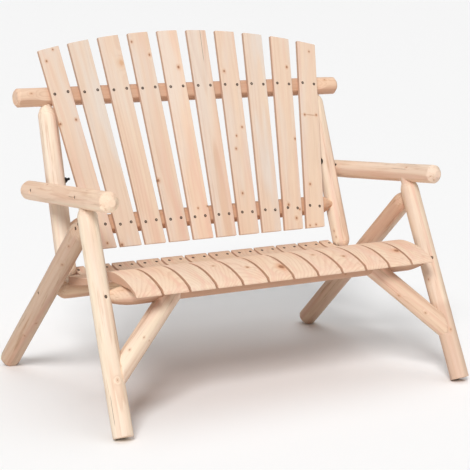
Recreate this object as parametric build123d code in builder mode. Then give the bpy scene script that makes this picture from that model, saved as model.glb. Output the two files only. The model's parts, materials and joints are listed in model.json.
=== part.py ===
from build123d import *
import math
import os

# Rustic log bench: peeled logs with turned tenons, S-shaped seat slats and a fanned slat back.
# Millimetres, +Z up, the sitter faces -Y. Right is +X. The floor is Z = 0 under the bench's middle.

os.makedirs("parts", exist_ok=True)

# Fits
tenon_room = 0.2  # a tenon in its mortise, all round and at its end
seat_room = 0.2  # a hollowed seat against the log that it sits on
post_room = 1.5  # between a post and the corner cut out of an end slat

# Seat slats
seat_slat_count = 12
seat_slat_pitch = 80.0
seat_slat_gap = 7.0
seat_nose_y = -335.2  # front tip of every seat slat
front_rail_seat_depth = 1.0  # how deep the front rail beds into the slats

# Corners of a seat slat's outline as (distance behind the nose, height), and the bends' radii
seat_nose = (0.0, 352.0)
seat_roll = (8.0, 362.8)
seat_crest_front = (70.4, 391.5)
seat_crest_rear = (160.7, 391.5)
seat_fall = (303.7, 341.5)
seat_hollow = (433.4, 324.6)
seat_rear_top = (482.0, 337.0)
seat_top_bends = (12.0, 270.0, 150.0, 120.0, 100.0)
under_nose = (3.0, 349.0)
under_rail_front = (34.0, 365.0)
under_rail_rear = (185.0, 365.0)
under_fall = (305.0, 323.0)
under_hollow = (450.0, 294.5)
under_rear = (482.0, 294.5)
seat_under_bends = (20.0, 130.0, 150.0, 40.0)

# Front legs
front_leg_radius = 27.6
front_leg_foot_out = 67.5  # of its axis, from the seat's side
front_leg_foot_y = -62.0  # behind the nose
front_leg_rake = 24.9  # degrees, top to the rear
front_leg_splay = 1.97  # degrees, feet outwards
front_leg_neck = 19.0
front_leg_tenon = 36.0
front_leg_shoulder = 24.0

# Rear legs, leaning forward onto the front legs
rear_leg_radius = 29.8
rear_leg_foot_out = 57.5  # of its axis, from the seat's side
rear_leg_behind_rail = 3.42  # of its axis, at the rear rail's height
rear_leg_below_armrest = 58.5  # its axis meets the front leg's this far below the armrest's
rear_leg_outset = 4.2  # from the front leg's axis there, outwards
rear_leg_neck = 17.0
rear_leg_tenon = 38.0
rear_leg_shoulder = 34.0

rear_foot_edge = 7.0  # bevelled all round; a front leg's foot is left square
foot_flat = 2.0  # trimmed off level, so that the foot stands flat

# Armrests
armrest_radius = 28.0
armrest_height = 599.0  # of the axis, above the seat's nose
armrest_fall = 5.0  # degrees, down to the rear
armrest_outset = 4.5  # from the front leg's axis, outwards
armrest_post_seat = 1.5  # how deep a post beds into the armrest
armrest_front_right = 64.0  # ends, from the plane of the nose
armrest_front_left = 17.0
armrest_rear = 622.0
armrest_edge = 9.0

# Back posts
post_radius = 28.1
post_base_in = 7.3  # of its axis, from the seat's side inwards
post_base_y = 440.0
post_base_height = 300.0  # where base x and y are measured
post_rake = 19.35
post_splay = 1.42
post_foot_neck = 11.0
post_foot_tenon = 34.0
post_foot_shoulder = 34.0
post_head_neck = 15.0
post_head_tenon = 36.0
post_head_shoulder = 34.0

# Rails
front_rail_radius = 28.0
front_rail_y = 94.5
front_rail_neck = 16.5
front_rail_tenon = 38.0
front_rail_shoulder = 64.0

rear_rail_radius = 26.0
rear_rail_y = 444.0
rear_rail_seat_depth = 14.8  # how deep the rear rail beds into the slats
rear_rail_neck = 12.0
rear_rail_tenon = 38.0
rear_rail_shoulder = 24.0

lower_rail_radius = 28.9
lower_rail_up = 73.6  # up the back from the slats' lower ends
lower_rail_neck = 14.0
lower_rail_tenon = 32.0
lower_rail_shoulder = 34.0

top_rail_radius = 27.8
top_rail_up = 455.2
top_rail_left = 92.4  # ends, past the posts' axes
top_rail_right = 82.4
top_rail_edge = 7.0

rail_flat_inset = 6.5  # how much of the rails is planed away under the back slats
rail_flat_margin = 6.0  # flat beyond the outer slats' edges

# Knee braces, between the front rail and the front legs
brace_radius = 29.0
brace_on_rail = 212.0  # from the leg's axis, along the rail
brace_on_leg = 216.0  # from the rail's axis, down the leg
brace_horn = 14.0  # the horns stop this far from the axis that they clasp

# Back slats, fanned in one leaning plane
back_slat_count = 10
back_slat_width = 66.0
back_slat_thickness = 12.0
back_slat_bottom = 393.2
back_slat_pitch = 79.2  # at the lower ends
back_rake = 19.93
back_front_y = 428.7  # front face at the lower ends, behind the nose
fan_focus_down = 2530.0  # where the slats' centre lines meet, below their lower ends
back_arch_radius = 2063.0
back_arch_up = 636.4

# Armrest bolts
bolt_radius = 4.0
bolt_head_radius = 6.5
bolt_head_height = 4.5
bolt_recess_radius = 7.5
bolt_recess_depth = 9.0
bolt_rise = 13.5  # degrees, up towards the middle of the bench
bolt_above_axis = 8.0
bolt_stickout = 9.0  # past the nut
bolt_room = 0.3
nut_across_flats = 13.0
nut_height = 6.5
thread_room = 0.1
nut_seat_radius = 10.0
nut_seat_depth = 3.0


# --- Log axes, all for the right-hand side ---


def leaning(rake, splay):
    return Vector(-math.tan(math.radians(splay)), math.tan(math.radians(rake)), 1)


def mirrored(line):
    place, way = line.position, line.direction
    return Axis((-place.X, place.Y, place.Z), (-way.X, way.Y, way.Z))


def reach(line, other):
    # distance along the line, from its start, to the place nearest to the other line
    apart = other.position - line.position
    cosine = line.direction.dot(other.direction)
    return apart.dot(line.direction - other.direction * cosine) / (1 - cosine**2)


def half_chord(line, other, radius):
    # half of what a log of that radius about the other line covers of this line
    normal = line.direction.cross(other.direction)
    offset = abs((other.position - line.position).dot(normal.normalized()))
    return math.sqrt(radius**2 - offset**2) / normal.length


def along(line, distance):
    return line.position + line.direction * distance


def at_height(line, height):
    return along(line, (height - line.position.Z) / line.direction.Z)


seat_side = (seat_slat_count * seat_slat_pitch - seat_slat_gap) / 2

front_leg_line = Axis(
    (seat_side + front_leg_foot_out, seat_nose_y + front_leg_foot_y, 0),
    leaning(front_leg_rake, front_leg_splay),
)
post_line = Axis(
    (seat_side - post_base_in, seat_nose_y + post_base_y, post_base_height),
    leaning(post_rake, post_splay),
)

fall = math.tan(math.radians(armrest_fall))


def under_armrest(line):
    # the place on a leg or post that the armrest's axis passes, seen from the side
    level = at_height(line, 0)
    rise = line.direction.Y / line.direction.Z
    height = (armrest_height - fall * (level.Y - seat_nose_y)) / (1 + fall * rise)
    return at_height(line, height)


armrest_on_leg = under_armrest(front_leg_line) + Vector(armrest_outset, 0, 0)
post_clear = post_radius + armrest_radius - armrest_post_seat
armrest_on_post = under_armrest(post_line) + Vector(post_clear, 0, 0)
armrest_way = (armrest_on_post - armrest_on_leg).normalized()
armrest_start = armrest_on_leg - armrest_way * (
    (armrest_on_leg.Y - seat_nose_y) / armrest_way.Y
)
armrest_line = Axis(armrest_start, armrest_way)

rear_leg_top = under_armrest(front_leg_line) - front_leg_line.direction * rear_leg_below_armrest
rear_leg_top += Vector(rear_leg_outset, 0, 0)
front_rail_height = under_rail_front[1] + front_rail_seat_depth - front_rail_radius
front_rail_line = Axis((0, seat_nose_y + front_rail_y, front_rail_height), (1, 0, 0))
rear_rail_height = under_rear[1] + rear_rail_seat_depth - rear_rail_radius
rear_rail_line = Axis((0, seat_nose_y + rear_rail_y, rear_rail_height), (1, 0, 0))

rear_leg_at_rail = rear_rail_line.position.Y + rear_leg_behind_rail
rear_leg_slope = (rear_leg_at_rail - rear_leg_top.Y) / (rear_leg_top.Z - rear_rail_height)
rear_leg_foot = Vector(
    seat_side + rear_leg_foot_out,
    rear_leg_at_rail + rear_rail_height * rear_leg_slope,
    0,
)
rear_leg_line = Axis(rear_leg_foot, rear_leg_top - rear_leg_foot)

# The leaning plane of the back slats' front faces, its Y running up the back
back_face = Plane(
    origin=(0, seat_nose_y + back_front_y, back_slat_bottom),
    x_dir=(1, 0, 0),
    z_dir=(0, -math.cos(math.radians(back_rake)), math.sin(math.radians(back_rake))),
)
back_seat = back_face.offset(-back_slat_thickness)


def rail_behind_back(up, radius):
    return Axis(back_seat.from_local_coords((0, up, rail_flat_inset - radius)), (1, 0, 0))


lower_rail_line = rail_behind_back(lower_rail_up, lower_rail_radius)
top_rail_line = rail_behind_back(top_rail_up, top_rail_radius)


# --- Turned logs ---


def sawn(place, radius, edge):
    return {"face": place, "neck": radius - edge, "shoulder": edge, "tenon": 0}


def tenoned(place, neck, shoulder, tenon):
    return {"face": place, "neck": neck, "shoulder": shoulder, "tenon": tenon}


def tenon_into(line, other, radius, neck, shoulder, tenon):
    # an end whose tenon enters the side of another log
    return tenoned(reach(line, other) - half_chord(line, other, radius), neck, shoulder, tenon)


def flipped(end):
    return {**end, "face": -end["face"]}


def draw_end(end, radius, room, way):
    # one end of a log's half outline; returns where the full thickness begins
    neck = end["neck"] + room
    tip = end["face"] + way * (end["tenon"] + room)
    full = end["face"] - way * end["shoulder"]
    corners = [(0, tip), (neck, tip)]
    if end["tenon"]:
        corners.append((neck, end["face"]))
    if corners[-1] != (radius + room, full):
        corners.append((radius + room, full))
    Polyline(*corners)
    return full


def turn_log(line, radius, start, end, seam, room=0, mode=Mode.ADD):
    # a log about its axis, or with some room, the hollow that it needs
    across = (seam - line.direction * seam.dot(line.direction)).normalized()
    plane = Plane(line.position, x_dir=across, z_dir=across.cross(line.direction))
    with BuildSketch(plane) as half:
        with BuildLine():
            low = draw_end(start, radius, room, -1)
            high = draw_end(end, radius, room, 1)
            Line((radius + room, low), (radius + room, high))
            Line(
                (0, start["face"] - start["tenon"] - room),
                (0, end["face"] + end["tenon"] + room),
            )
        make_face()
    revolve(half.sketch, axis=line, mode=mode)


def foot(line, radius, edge):
    # a square-sawn foot, low enough that the floor trims its lowest edge flat
    lean = math.acos(line.direction.Z)
    drop = max(
        (radius - edge) * math.sin(lean),
        radius * math.sin(lean) - edge * math.cos(lean),
    )
    return sawn((drop - foot_flat) / line.direction.Z, radius, edge)


# A log's seam, where its turned surface begins and ends, lies where nothing enters it.
seam_out = Vector(1, 0, 0)
seam_rear = Vector(0, 1, 0)
seam_top = Vector(0, 0, 1)
seam_under = Vector(0, 0, -1)

front_leg_shape = (
    front_leg_line,
    front_leg_radius,
    foot(front_leg_line, front_leg_radius, 0),
    tenon_into(
        front_leg_line,
        armrest_line,
        armrest_radius,
        front_leg_neck,
        front_leg_shoulder,
        front_leg_tenon,
    ),
    seam_out,
)
rear_leg_shape = (
    rear_leg_line,
    rear_leg_radius,
    foot(rear_leg_line, rear_leg_radius, rear_foot_edge),
    tenon_into(
        rear_leg_line,
        front_leg_line,
        front_leg_radius,
        rear_leg_neck,
        rear_leg_shoulder,
        rear_leg_tenon,
    ),
    seam_out,
)
front_rail_end = tenon_into(
    front_rail_line,
    front_leg_line,
    front_leg_radius,
    front_rail_neck,
    front_rail_shoulder,
    front_rail_tenon,
)
front_rail_shape = (
    front_rail_line,
    front_rail_radius,
    flipped(front_rail_end),
    front_rail_end,
    seam_under,
)
rear_rail_end = tenon_into(
    rear_rail_line,
    rear_leg_line,
    rear_leg_radius,
    rear_rail_neck,
    rear_rail_shoulder,
    rear_rail_tenon,
)
rear_rail_shape = (
    rear_rail_line,
    rear_rail_radius,
    flipped(rear_rail_end),
    rear_rail_end,
    seam_under,
)
lower_rail_end = tenon_into(
    lower_rail_line,
    post_line,
    post_radius,
    lower_rail_neck,
    lower_rail_shoulder,
    lower_rail_tenon,
)
lower_rail_shape = (
    lower_rail_line,
    lower_rail_radius,
    flipped(lower_rail_end),
    lower_rail_end,
    seam_rear,
)
post_on_top_rail = reach(top_rail_line, post_line)
top_rail_shape = (
    top_rail_line,
    top_rail_radius,
    sawn(-post_on_top_rail - top_rail_left, top_rail_radius, top_rail_edge),
    sawn(post_on_top_rail + top_rail_right, top_rail_radius, top_rail_edge),
    seam_rear,
)
post_shape = (
    post_line,
    post_radius,
    tenoned(
        reach(post_line, rear_rail_line) + half_chord(post_line, rear_rail_line, rear_rail_radius),
        post_foot_neck,
        post_foot_shoulder,
        post_foot_tenon,
    ),
    tenon_into(
        post_line,
        top_rail_line,
        top_rail_radius,
        post_head_neck,
        post_head_shoulder,
        post_head_tenon,
    ),
    seam_rear,
)


def bed(shape, room, sides=(False,)):
    # cuts the hollow that another log fits; sides says for each hollow whether it is mirrored
    line, *rest = shape
    for is_left in sides:
        turn_log(mirrored(line) if is_left else line, *rest, room, Mode.SUBTRACT)


both_sides = (False, True)


def slat_offsets(count):
    return [number - (count - 1) / 2 for number in range(count)]


fan_angles = [
    math.degrees(math.atan(offset * back_slat_pitch / fan_focus_down))
    for offset in slat_offsets(back_slat_count)
]


def log_surface(line, point, way, radius):
    # the point where a straight line through the given point leaves a log on that side
    apart = point - line.position
    flat = apart - line.direction * apart.dot(line.direction)
    lie = way - line.direction * way.dot(line.direction)
    half = flat.dot(lie) / lie.dot(lie)
    rest = (flat.dot(flat) - radius**2) / lie.dot(lie)
    return point + way * (math.sqrt(half**2 - rest) - half)


# A knee brace's axis runs from the front rail's axis to the front leg's.
outboard = Vector(1, 0, 0)
leg_foot_way = -front_leg_line.direction
leg_at_rail = along(front_leg_line, reach(front_leg_line, front_rail_line))
brace_rail_end = along(front_rail_line, leg_at_rail.X - brace_on_rail)
brace_leg_end = leg_at_rail + leg_foot_way * brace_on_leg
brace_line = Axis(brace_rail_end, brace_leg_end - brace_rail_end)
brace_length = (brace_leg_end - brace_rail_end).length

# The armrest bolt's plane has its Z outwards along the bolt.
bolt_way = Vector(math.cos(math.radians(bolt_rise)), 0, -math.sin(math.radians(bolt_rise)))
bolt_point = armrest_on_post + Vector(0, 0, bolt_above_axis)
bolt_head_seat = log_surface(armrest_line, bolt_point, bolt_way, armrest_radius)
bolt_head_seat -= bolt_way * bolt_recess_depth
bolt_nut_seat = log_surface(post_line, bolt_point - bolt_way * post_clear, -bolt_way, post_radius)
bolt_nut_seat += bolt_way * nut_seat_depth
bolt_base = Plane(bolt_nut_seat, z_dir=bolt_way)
bolt_grip = (bolt_head_seat - bolt_nut_seat).length
bolt_end = -(nut_height + bolt_stickout)


def bore_for_bolt():
    with Locations(bolt_base):
        Cylinder(
            bolt_radius + bolt_room,
            4 * bolt_grip,
            mode=Mode.SUBTRACT,
        )


def keep(piece, name):
    piece.label = name
    export_step(piece, f"parts/{name}.step")


def keep_pair(piece, name):
    # a right-hand piece and its mirror image
    keep(piece, f"{name}_right")
    with BuildPart() as other_hand:
        add(mirror(piece, about=Plane.YZ, mode=Mode.PRIVATE))
    keep(other_hand.part, f"{name}_left")


# --- Frame ---

with BuildPart() as front_leg:
    turn_log(*front_leg_shape)
    split(bisect_by=Plane.XY, keep=Keep.TOP)
    bed(front_rail_shape, tenon_room)
    bed(rear_leg_shape, tenon_room)
keep_pair(front_leg.part, "front_leg")

with BuildPart() as rear_leg:
    turn_log(*rear_leg_shape)
    split(bisect_by=Plane.XY, keep=Keep.TOP)
    bed(rear_rail_shape, tenon_room)
keep_pair(rear_leg.part, "rear_leg")

with BuildPart() as back_post:
    turn_log(*post_shape)
    bed(lower_rail_shape, tenon_room)
    bore_for_bolt()
    with Locations(bolt_base):
        Cylinder(
            nut_seat_radius,
            post_radius,
            align=(Align.CENTER, Align.CENTER, Align.MAX),
            mode=Mode.SUBTRACT,
        )
keep_pair(back_post.part, "back_post")


def shape_armrest(front_end):
    turn_log(
        armrest_line,
        armrest_radius,
        sawn(front_end, armrest_radius, armrest_edge),
        sawn(armrest_rear, armrest_radius, armrest_edge),
        seam_top,
    )
    bed(front_leg_shape, tenon_room)
    bed(post_shape, seat_room)
    bore_for_bolt()
    with Locations(Plane(bolt_head_seat, z_dir=bolt_way)):
        Cylinder(
            bolt_recess_radius,
            2 * armrest_radius,
            align=(Align.CENTER, Align.CENTER, Align.MIN),
            mode=Mode.SUBTRACT,
        )


with BuildPart() as armrest_right:
    shape_armrest(armrest_front_right)
keep(armrest_right.part, "armrest_right")

with BuildPart() as longer_armrest:
    shape_armrest(armrest_front_left)
with BuildPart() as armrest_left:
    add(mirror(longer_armrest.part, about=Plane.YZ, mode=Mode.PRIVATE))
keep(armrest_left.part, "armrest_left")

with BuildPart() as front_rail:
    turn_log(*front_rail_shape)
keep(front_rail.part, "front_seat_rail")

with BuildPart() as rear_rail:
    turn_log(*rear_rail_shape)
    bed(post_shape, tenon_room, both_sides)
keep(rear_rail.part, "rear_seat_rail")


def slat_edge_x(up):
    # how far out the outermost back slat reaches at that height
    centre = (fan_focus_down + up) * math.tan(math.radians(fan_angles[-1]))
    return centre + back_slat_width / 2 / math.cos(math.radians(fan_angles[-1]))


def plane_flat(up, radius):
    # planes a flat on the front of a rail, as far as the slats reach
    with BuildSketch(back_seat) as flat:
        with Locations((0, up)):
            Rectangle(2 * (slat_edge_x(up) + rail_flat_margin), 2 * radius)
    extrude(flat.sketch, amount=radius, mode=Mode.SUBTRACT)


with BuildPart() as lower_rail:
    turn_log(*lower_rail_shape)
    plane_flat(lower_rail_up, lower_rail_radius)
keep(lower_rail.part, "back_lower_rail")

with BuildPart() as top_rail:
    turn_log(*top_rail_shape)
    plane_flat(top_rail_up, top_rail_radius)
    bed(post_shape, tenon_room, both_sides)
keep(top_rail.part, "back_top_rail")

# A knee brace runs from axis to axis, is cut off short of both, then hollowed round both logs.
rail_horn_plane = Plane(
    front_rail_line.position + leg_foot_way * brace_horn, x_dir=(1, 0, 0), z_dir=leg_foot_way
)
leg_horn_plane = Plane(
    front_leg_line.position - outboard * brace_horn,
    x_dir=front_leg_line.direction,
    z_dir=-(outboard - front_leg_line.direction * outboard.dot(front_leg_line.direction)),
)

with BuildPart() as knee_brace:
    with BuildSketch(Plane(brace_line.position, z_dir=brace_line.direction)):
        Circle(brace_radius)
    extrude(amount=brace_length)
    split(bisect_by=rail_horn_plane, keep=Keep.TOP)
    split(bisect_by=leg_horn_plane, keep=Keep.TOP)
    bed(front_rail_shape, seat_room)
    bed(front_leg_shape, seat_room)
keep_pair(knee_brace.part, "knee_brace")

# --- Seat slats ---

seat_slat_width = seat_slat_pitch - seat_slat_gap
top_corners = (
    seat_nose,
    seat_roll,
    seat_crest_front,
    seat_crest_rear,
    seat_fall,
    seat_hollow,
    seat_rear_top,
)
under_corners = (
    under_nose,
    under_rail_front,
    under_rail_rear,
    under_fall,
    under_hollow,
    under_rear,
)
post_at_slat = at_height(post_line, seat_rear_top[1])
corner_x = post_at_slat.X - post_radius - post_room
corner_y = post_at_slat.Y - post_radius - post_room

for number, offset in enumerate(slat_offsets(seat_slat_count), start=1):
    centre = offset * seat_slat_pitch
    with BuildPart() as seat_slat:
        slat_side = (centre - seat_slat_width / 2, seat_nose_y, 0)
        with BuildSketch(Plane(slat_side, x_dir=(0, 1, 0), z_dir=(1, 0, 0))):
            with BuildLine():
                FilletPolyline(*top_corners, radius=seat_top_bends)
                FilletPolyline(*under_corners, radius=seat_under_bends)
                Line(seat_nose, under_nose)
                Line(seat_rear_top, under_rear)
            make_face()
        extrude(amount=seat_slat_width)
        for rail in (front_rail_shape, rear_rail_shape):
            bed(rail, seat_room)
        if abs(offset) > (seat_slat_count - 2) / 2:
            with Locations((math.copysign(corner_x, centre), corner_y, seat_rear_top[1])):
                Box(
                    2 * seat_slat_pitch,
                    2 * seat_slat_pitch,
                    4 * seat_slat_pitch,
                    align=(Align.MIN if centre > 0 else Align.MAX, Align.MIN, Align.CENTER),
                    mode=Mode.SUBTRACT,
                )
    keep(seat_slat.part, f"seat_slat_{number:02d}")

# --- Back slats ---

for number, angle in enumerate(fan_angles, start=1):
    with BuildPart() as back_slat:
        with BuildSketch(back_face) as face:
            with Locations(Location((0, -fan_focus_down), -angle)):
                Rectangle(
                    back_slat_width,
                    2 * fan_focus_down,
                    align=(Align.CENTER, Align.MIN),
                )
            with Locations((0, back_arch_up - back_arch_radius)):
                Circle(back_arch_radius, mode=Mode.INTERSECT)
            Rectangle(
                2 * back_arch_radius,
                2 * back_arch_up,
                align=(Align.CENTER, Align.MIN),
                mode=Mode.INTERSECT,
            )
        extrude(amount=-back_slat_thickness)
    keep(back_slat.part, f"back_slat_{number:02d}")

# --- Fasteners ---

with BuildPart() as bolts:
    with Locations(bolt_base.offset(bolt_end)):
        Cylinder(
            bolt_radius,
            bolt_grip - bolt_end,
            align=(Align.CENTER, Align.CENTER, Align.MIN),
        )
    with Locations(bolt_base.offset(bolt_grip)):
        Cylinder(
            bolt_head_radius,
            bolt_head_height,
            align=(Align.CENTER, Align.CENTER, Align.MIN),
        )
    mirror(about=Plane.YZ)
keep(bolts.part, "armrest_bolts")

with BuildPart() as nuts:
    with BuildSketch(bolt_base):
        RegularPolygon(nut_across_flats / 2, 6, major_radius=False)
        Circle(bolt_radius + thread_room, mode=Mode.SUBTRACT)
    extrude(amount=-nut_height)
    mirror(about=Plane.YZ)
keep(nuts.part, "armrest_bolt_nuts")
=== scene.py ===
import json
import math
import random
import bpy
import bmesh
import numpy as np
from mathutils import Matrix, Vector

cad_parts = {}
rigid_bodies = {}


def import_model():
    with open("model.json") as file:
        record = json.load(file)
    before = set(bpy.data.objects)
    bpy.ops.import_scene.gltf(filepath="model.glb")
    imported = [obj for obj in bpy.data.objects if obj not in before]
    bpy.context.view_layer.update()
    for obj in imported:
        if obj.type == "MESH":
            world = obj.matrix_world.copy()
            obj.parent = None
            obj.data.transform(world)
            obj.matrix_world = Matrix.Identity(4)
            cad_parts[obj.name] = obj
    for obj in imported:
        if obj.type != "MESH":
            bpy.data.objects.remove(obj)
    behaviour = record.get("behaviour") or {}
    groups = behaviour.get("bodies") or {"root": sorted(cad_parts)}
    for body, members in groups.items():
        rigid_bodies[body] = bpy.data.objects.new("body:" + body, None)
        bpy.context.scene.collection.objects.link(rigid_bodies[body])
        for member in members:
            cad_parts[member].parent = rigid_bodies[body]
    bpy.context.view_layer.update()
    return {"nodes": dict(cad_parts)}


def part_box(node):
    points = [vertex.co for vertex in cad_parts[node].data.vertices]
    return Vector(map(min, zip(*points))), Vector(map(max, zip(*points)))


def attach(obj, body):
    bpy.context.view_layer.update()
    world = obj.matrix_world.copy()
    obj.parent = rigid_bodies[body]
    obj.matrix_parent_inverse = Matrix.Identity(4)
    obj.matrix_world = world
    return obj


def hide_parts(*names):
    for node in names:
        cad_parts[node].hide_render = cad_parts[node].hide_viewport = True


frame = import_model()
nodes = frame["nodes"]
print("frame loaded:", len(nodes), "nodes")

mm = 0.001


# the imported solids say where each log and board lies

def readArray(items, attribute, width, kind=float):
    values = np.empty(len(items) * width, kind)
    items.foreach_get(attribute, values)
    return values.reshape(-1, width)


def nodePoints(name):
    return readArray(nodes[name].data.vertices, "co", 3)


reading = {"sameWay": 0.999995, "longShare": 0.4, "upright": 0.3, "sameSpot": 1e-6}


def longestWay(name):
    # direction of the node's longest straight edges, and the points at their ends
    points, edges = nodePoints(name), readArray(nodes[name].data.edges, "vertices", 2, int)
    ways = points[edges[:, 1]] - points[edges[:, 0]]
    lengths = np.linalg.norm(ways, axis=1)
    units = ways / np.maximum(lengths, 1e-9)[:, None]
    isLong = lengths > reading["longShare"] * lengths.max()
    longEnough = np.flatnonzero(isLong)
    parallel = np.abs(units[longEnough] @ units[longEnough].T) > reading["sameWay"]
    first = units[longEnough[(parallel @ lengths[longEnough]).argmax()]]
    along = (np.abs(units @ first) > reading["sameWay"]) & isLong
    way = (units[along] * np.sign(units[along] @ first)[:, None]).sum(axis=0)
    way = way / np.linalg.norm(way)
    leading = 2 if abs(way[2]) > reading["upright"] else np.abs(way).argmax()
    way = way * np.sign(way[leading])
    return way, points[np.unique(edges[along])]


def localFrame(origin, way, facing):
    # local Z runs along the grain, local Y as near as it can to the facing direction
    side = np.cross(facing, way)
    side = side / np.linalg.norm(side)
    up = np.cross(way, side)
    matrix = Matrix.Identity(4)
    for column, axis in enumerate((side, up, way, origin)):
        for row in range(3):
            matrix[row][column] = axis[row]
    return matrix


def toLocal(matrix, points):
    back = np.array(matrix.inverted())
    return points @ back[:3, :3].T + back[:3, 3]


def readLog(name, facing):
    # a log's axis, radius and reach, from its solid
    way, onSurface = longestWay(name)
    matrix = localFrame(onSurface.mean(axis=0), way, facing)
    flat = toLocal(matrix, onSurface)[:, :2]
    system = np.column_stack((2 * flat, np.ones(len(flat))))
    fit = np.linalg.lstsq(system, (flat ** 2).sum(axis=1), rcond=None)[0]
    radius = math.sqrt(fit[2] + fit[0] ** 2 + fit[1] ** 2)
    centre = np.array(matrix @ Vector((fit[0], fit[1], 0)))
    reach = toLocal(localFrame(centre, way, facing), nodePoints(name))[:, 2]
    start = centre + way * reach.min()
    return {"matrix": localFrame(start, way, facing), "radius": radius,
            "length": reach.max() - reach.min()}


def smoothStep(value):
    value = np.clip(value, 0, 1)
    return value * value * (3 - 2 * value)


def wander(rng, count, positions, size):
    # a smooth random line through a few random heights
    heights = rng.uniform(-size, size, count)
    places = np.linspace(positions.min(), positions.max(), count)
    lower = np.clip(np.searchsorted(places, positions, side="right") - 1, 0, count - 2)
    share = (positions - places[lower]) / (places[lower + 1] - places[lower])
    blend = smoothStep(share)
    return heights[lower] * (1 - blend) + heights[lower + 1] * blend


def addObject(name, data):
    piece = bpy.data.objects.new(name, data)
    bpy.context.scene.collection.objects.link(piece)
    return piece


def buildLoft(name, rings, matrix, capFlat=True):
    # skin over a stack of equal rings, closed at both ends
    stations, around, _ = rings.shape
    mesh = bpy.data.meshes.new(name)
    faces = []
    for row in range(stations - 1):
        for col in range(around):
            nextCol = (col + 1) % around
            low, high = row * around, (row + 1) * around
            faces.append((low + col, low + nextCol, high + nextCol, high + col))
    faces.append(tuple(reversed(range(around))))
    faces.append(tuple(range((stations - 1) * around, stations * around)))
    mesh.from_pydata(rings.reshape(-1, 3).tolist(), [], faces)
    mesh.validate()
    for polygon in mesh.polygons:
        polygon.use_smooth = True
    if capFlat:
        mesh.polygons[-1].use_smooth = False
        mesh.polygons[-2].use_smooth = False
    piece = addObject(name, mesh)
    piece.matrix_world = matrix
    fixNormals(piece)
    return piece


def editMesh(piece, change):
    work = bmesh.new()
    work.from_mesh(piece.data)
    change(work)
    work.to_mesh(piece.data)
    work.free()


def fixNormals(piece):
    editMesh(piece, lambda work: bmesh.ops.recalc_face_normals(work, faces=work.faces))


def buildBoard(name, rings, matrix):
    piece = buildLoft(f"{name}_board", np.array(rings), matrix, capFlat=False)
    weights = piece.modifiers.new("flat faces first", "WEIGHTED_NORMAL")
    weights.keep_sharp = True
    weights.weight = 80
    return piece


def finishPiece(piece, material, slotName, *replaced):
    piece.data.materials.clear()
    piece.data.materials.append(material)
    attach(piece, "root")
    if replaced:
        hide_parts(*replaced)


def addNode(tree, kind, inputs, **settings):
    node = tree.nodes.new("ShaderNode" + kind)
    for key, value in settings.items():
        setattr(node, key, value)
    for key, value in inputs.items():
        if isinstance(value, bpy.types.NodeSocket):
            tree.links.new(value, node.inputs[key])
        else:
            node.inputs[key].default_value = value
    return node


def calc(tree, operation, first, second=0.0, third=0.0):
    node = addNode(tree, "Math", {0: first, 1: second, 2: third}, operation=operation)
    return node.outputs[0]


def remap(tree, value, low, high, outLow=0.0, outHigh=1.0):
    inputs = {"Value": value, "From Min": low, "From Max": high,
              "To Min": outLow, "To Max": outHigh}
    return addNode(tree, "MapRange", inputs, interpolation_type="SMOOTHSTEP").outputs[0]


def stretched(tree, coords, scale, offset=(0, 0, 0)):
    inputs = {"Vector": coords, "Scale": scale, "Location": offset}
    return addNode(tree, "Mapping", inputs).outputs[0]


def noiseOf(tree, coords, scale, detail=2.0, roughness=0.5):
    inputs = {"Vector": coords, "Scale": scale, "Detail": detail, "Roughness": roughness}
    return addNode(tree, "TexNoise", inputs).outputs[0]


def mixColour(tree, share, under, over, blend="MIX"):
    inputs = {0: share, 6: under, 7: over}
    return addNode(tree, "Mix", inputs, data_type="RGBA", blend_type=blend).outputs[2]


def colour(red, green, blue):
    return (red, green, blue, 1.0)


woodTones = {
    "early": colour(0.83, 0.635, 0.485),     # pale wood between the growth rings
    "late": colour(0.63, 0.375, 0.24),       # darker edge of each growth ring
    "cream": colour(0.88, 0.735, 0.56),      # yellow sapwood
    "pink": colour(0.79, 0.515, 0.395),      # rosy heartwood
    "streak": colour(0.48, 0.245, 0.135),    # thin resin lines
    "grey": colour(0.80, 0.70, 0.61),        # weathered, almost colourless wood
    "bast": colour(0.50, 0.30, 0.17),        # thin leftovers of inner bark
    "paintedShade": colour(0.58, 0.36, 0.25),    # painted shade on side faces, undersides and along darker stretches
    "core": colour(0.30, 0.13, 0.065),       # heart of a knot
    "halo": colour(0.66, 0.36, 0.20),        # stained wood round it
    "crack": colour(0.10, 0.05, 0.03),
}


# each pattern's repeats per metre across and along the grain, its place (None takes the
# piece's own shift), its detail and its roughness
woodGrain = {
    "wobble": ((9, 9, 1.6), (None, None, None), 1.0, 0.5),
    "patchy": ((22, 22, 3.5), (3, None, 0), 2.0, 0.5),
    "fibre": ((900, 900, 11), (0, 0, 0), 3.0, 0.6),
    "broad": ((48, 48, 2.2), (None, 5, 1), 2.0, 0.5),
    "fine": ((230, 230, 3.2), (None, 2, 8), 2.0, 0.6),
    "sap": ((26, 26, 1.1), (7, None, 4), 1.0, 0.5),
    "mottle": ((17, 17, 2.4), (4, None, 9), 2.0, 0.6),
    "bark": ((85, 85, 4.5), (None, 6, 3), 4.0, 0.65),
}

# pattern, where it starts and where it is full, which share of the look it has, its tone
woodLayers = (
    ("sap", 0.42, 0.66, "cream", "cream"),
    ("broad", 0.46, 0.72, "pink", "pink"),
    ("mottle", 0.40, 0.66, "grey", "grey"),
    ("fine", 0.66, 0.76, "resin", "streak"),
    ("bark", 0.53, 0.75, "bast", "bast"),
    # the last two rows paint shade: side faces and faces turned down are darkened
    ("sideShade", 0.6, 0.95, "side", "paintedShade"),
    ("underShade", 0.1, 0.75, "under", "paintedShade"),
)

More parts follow.
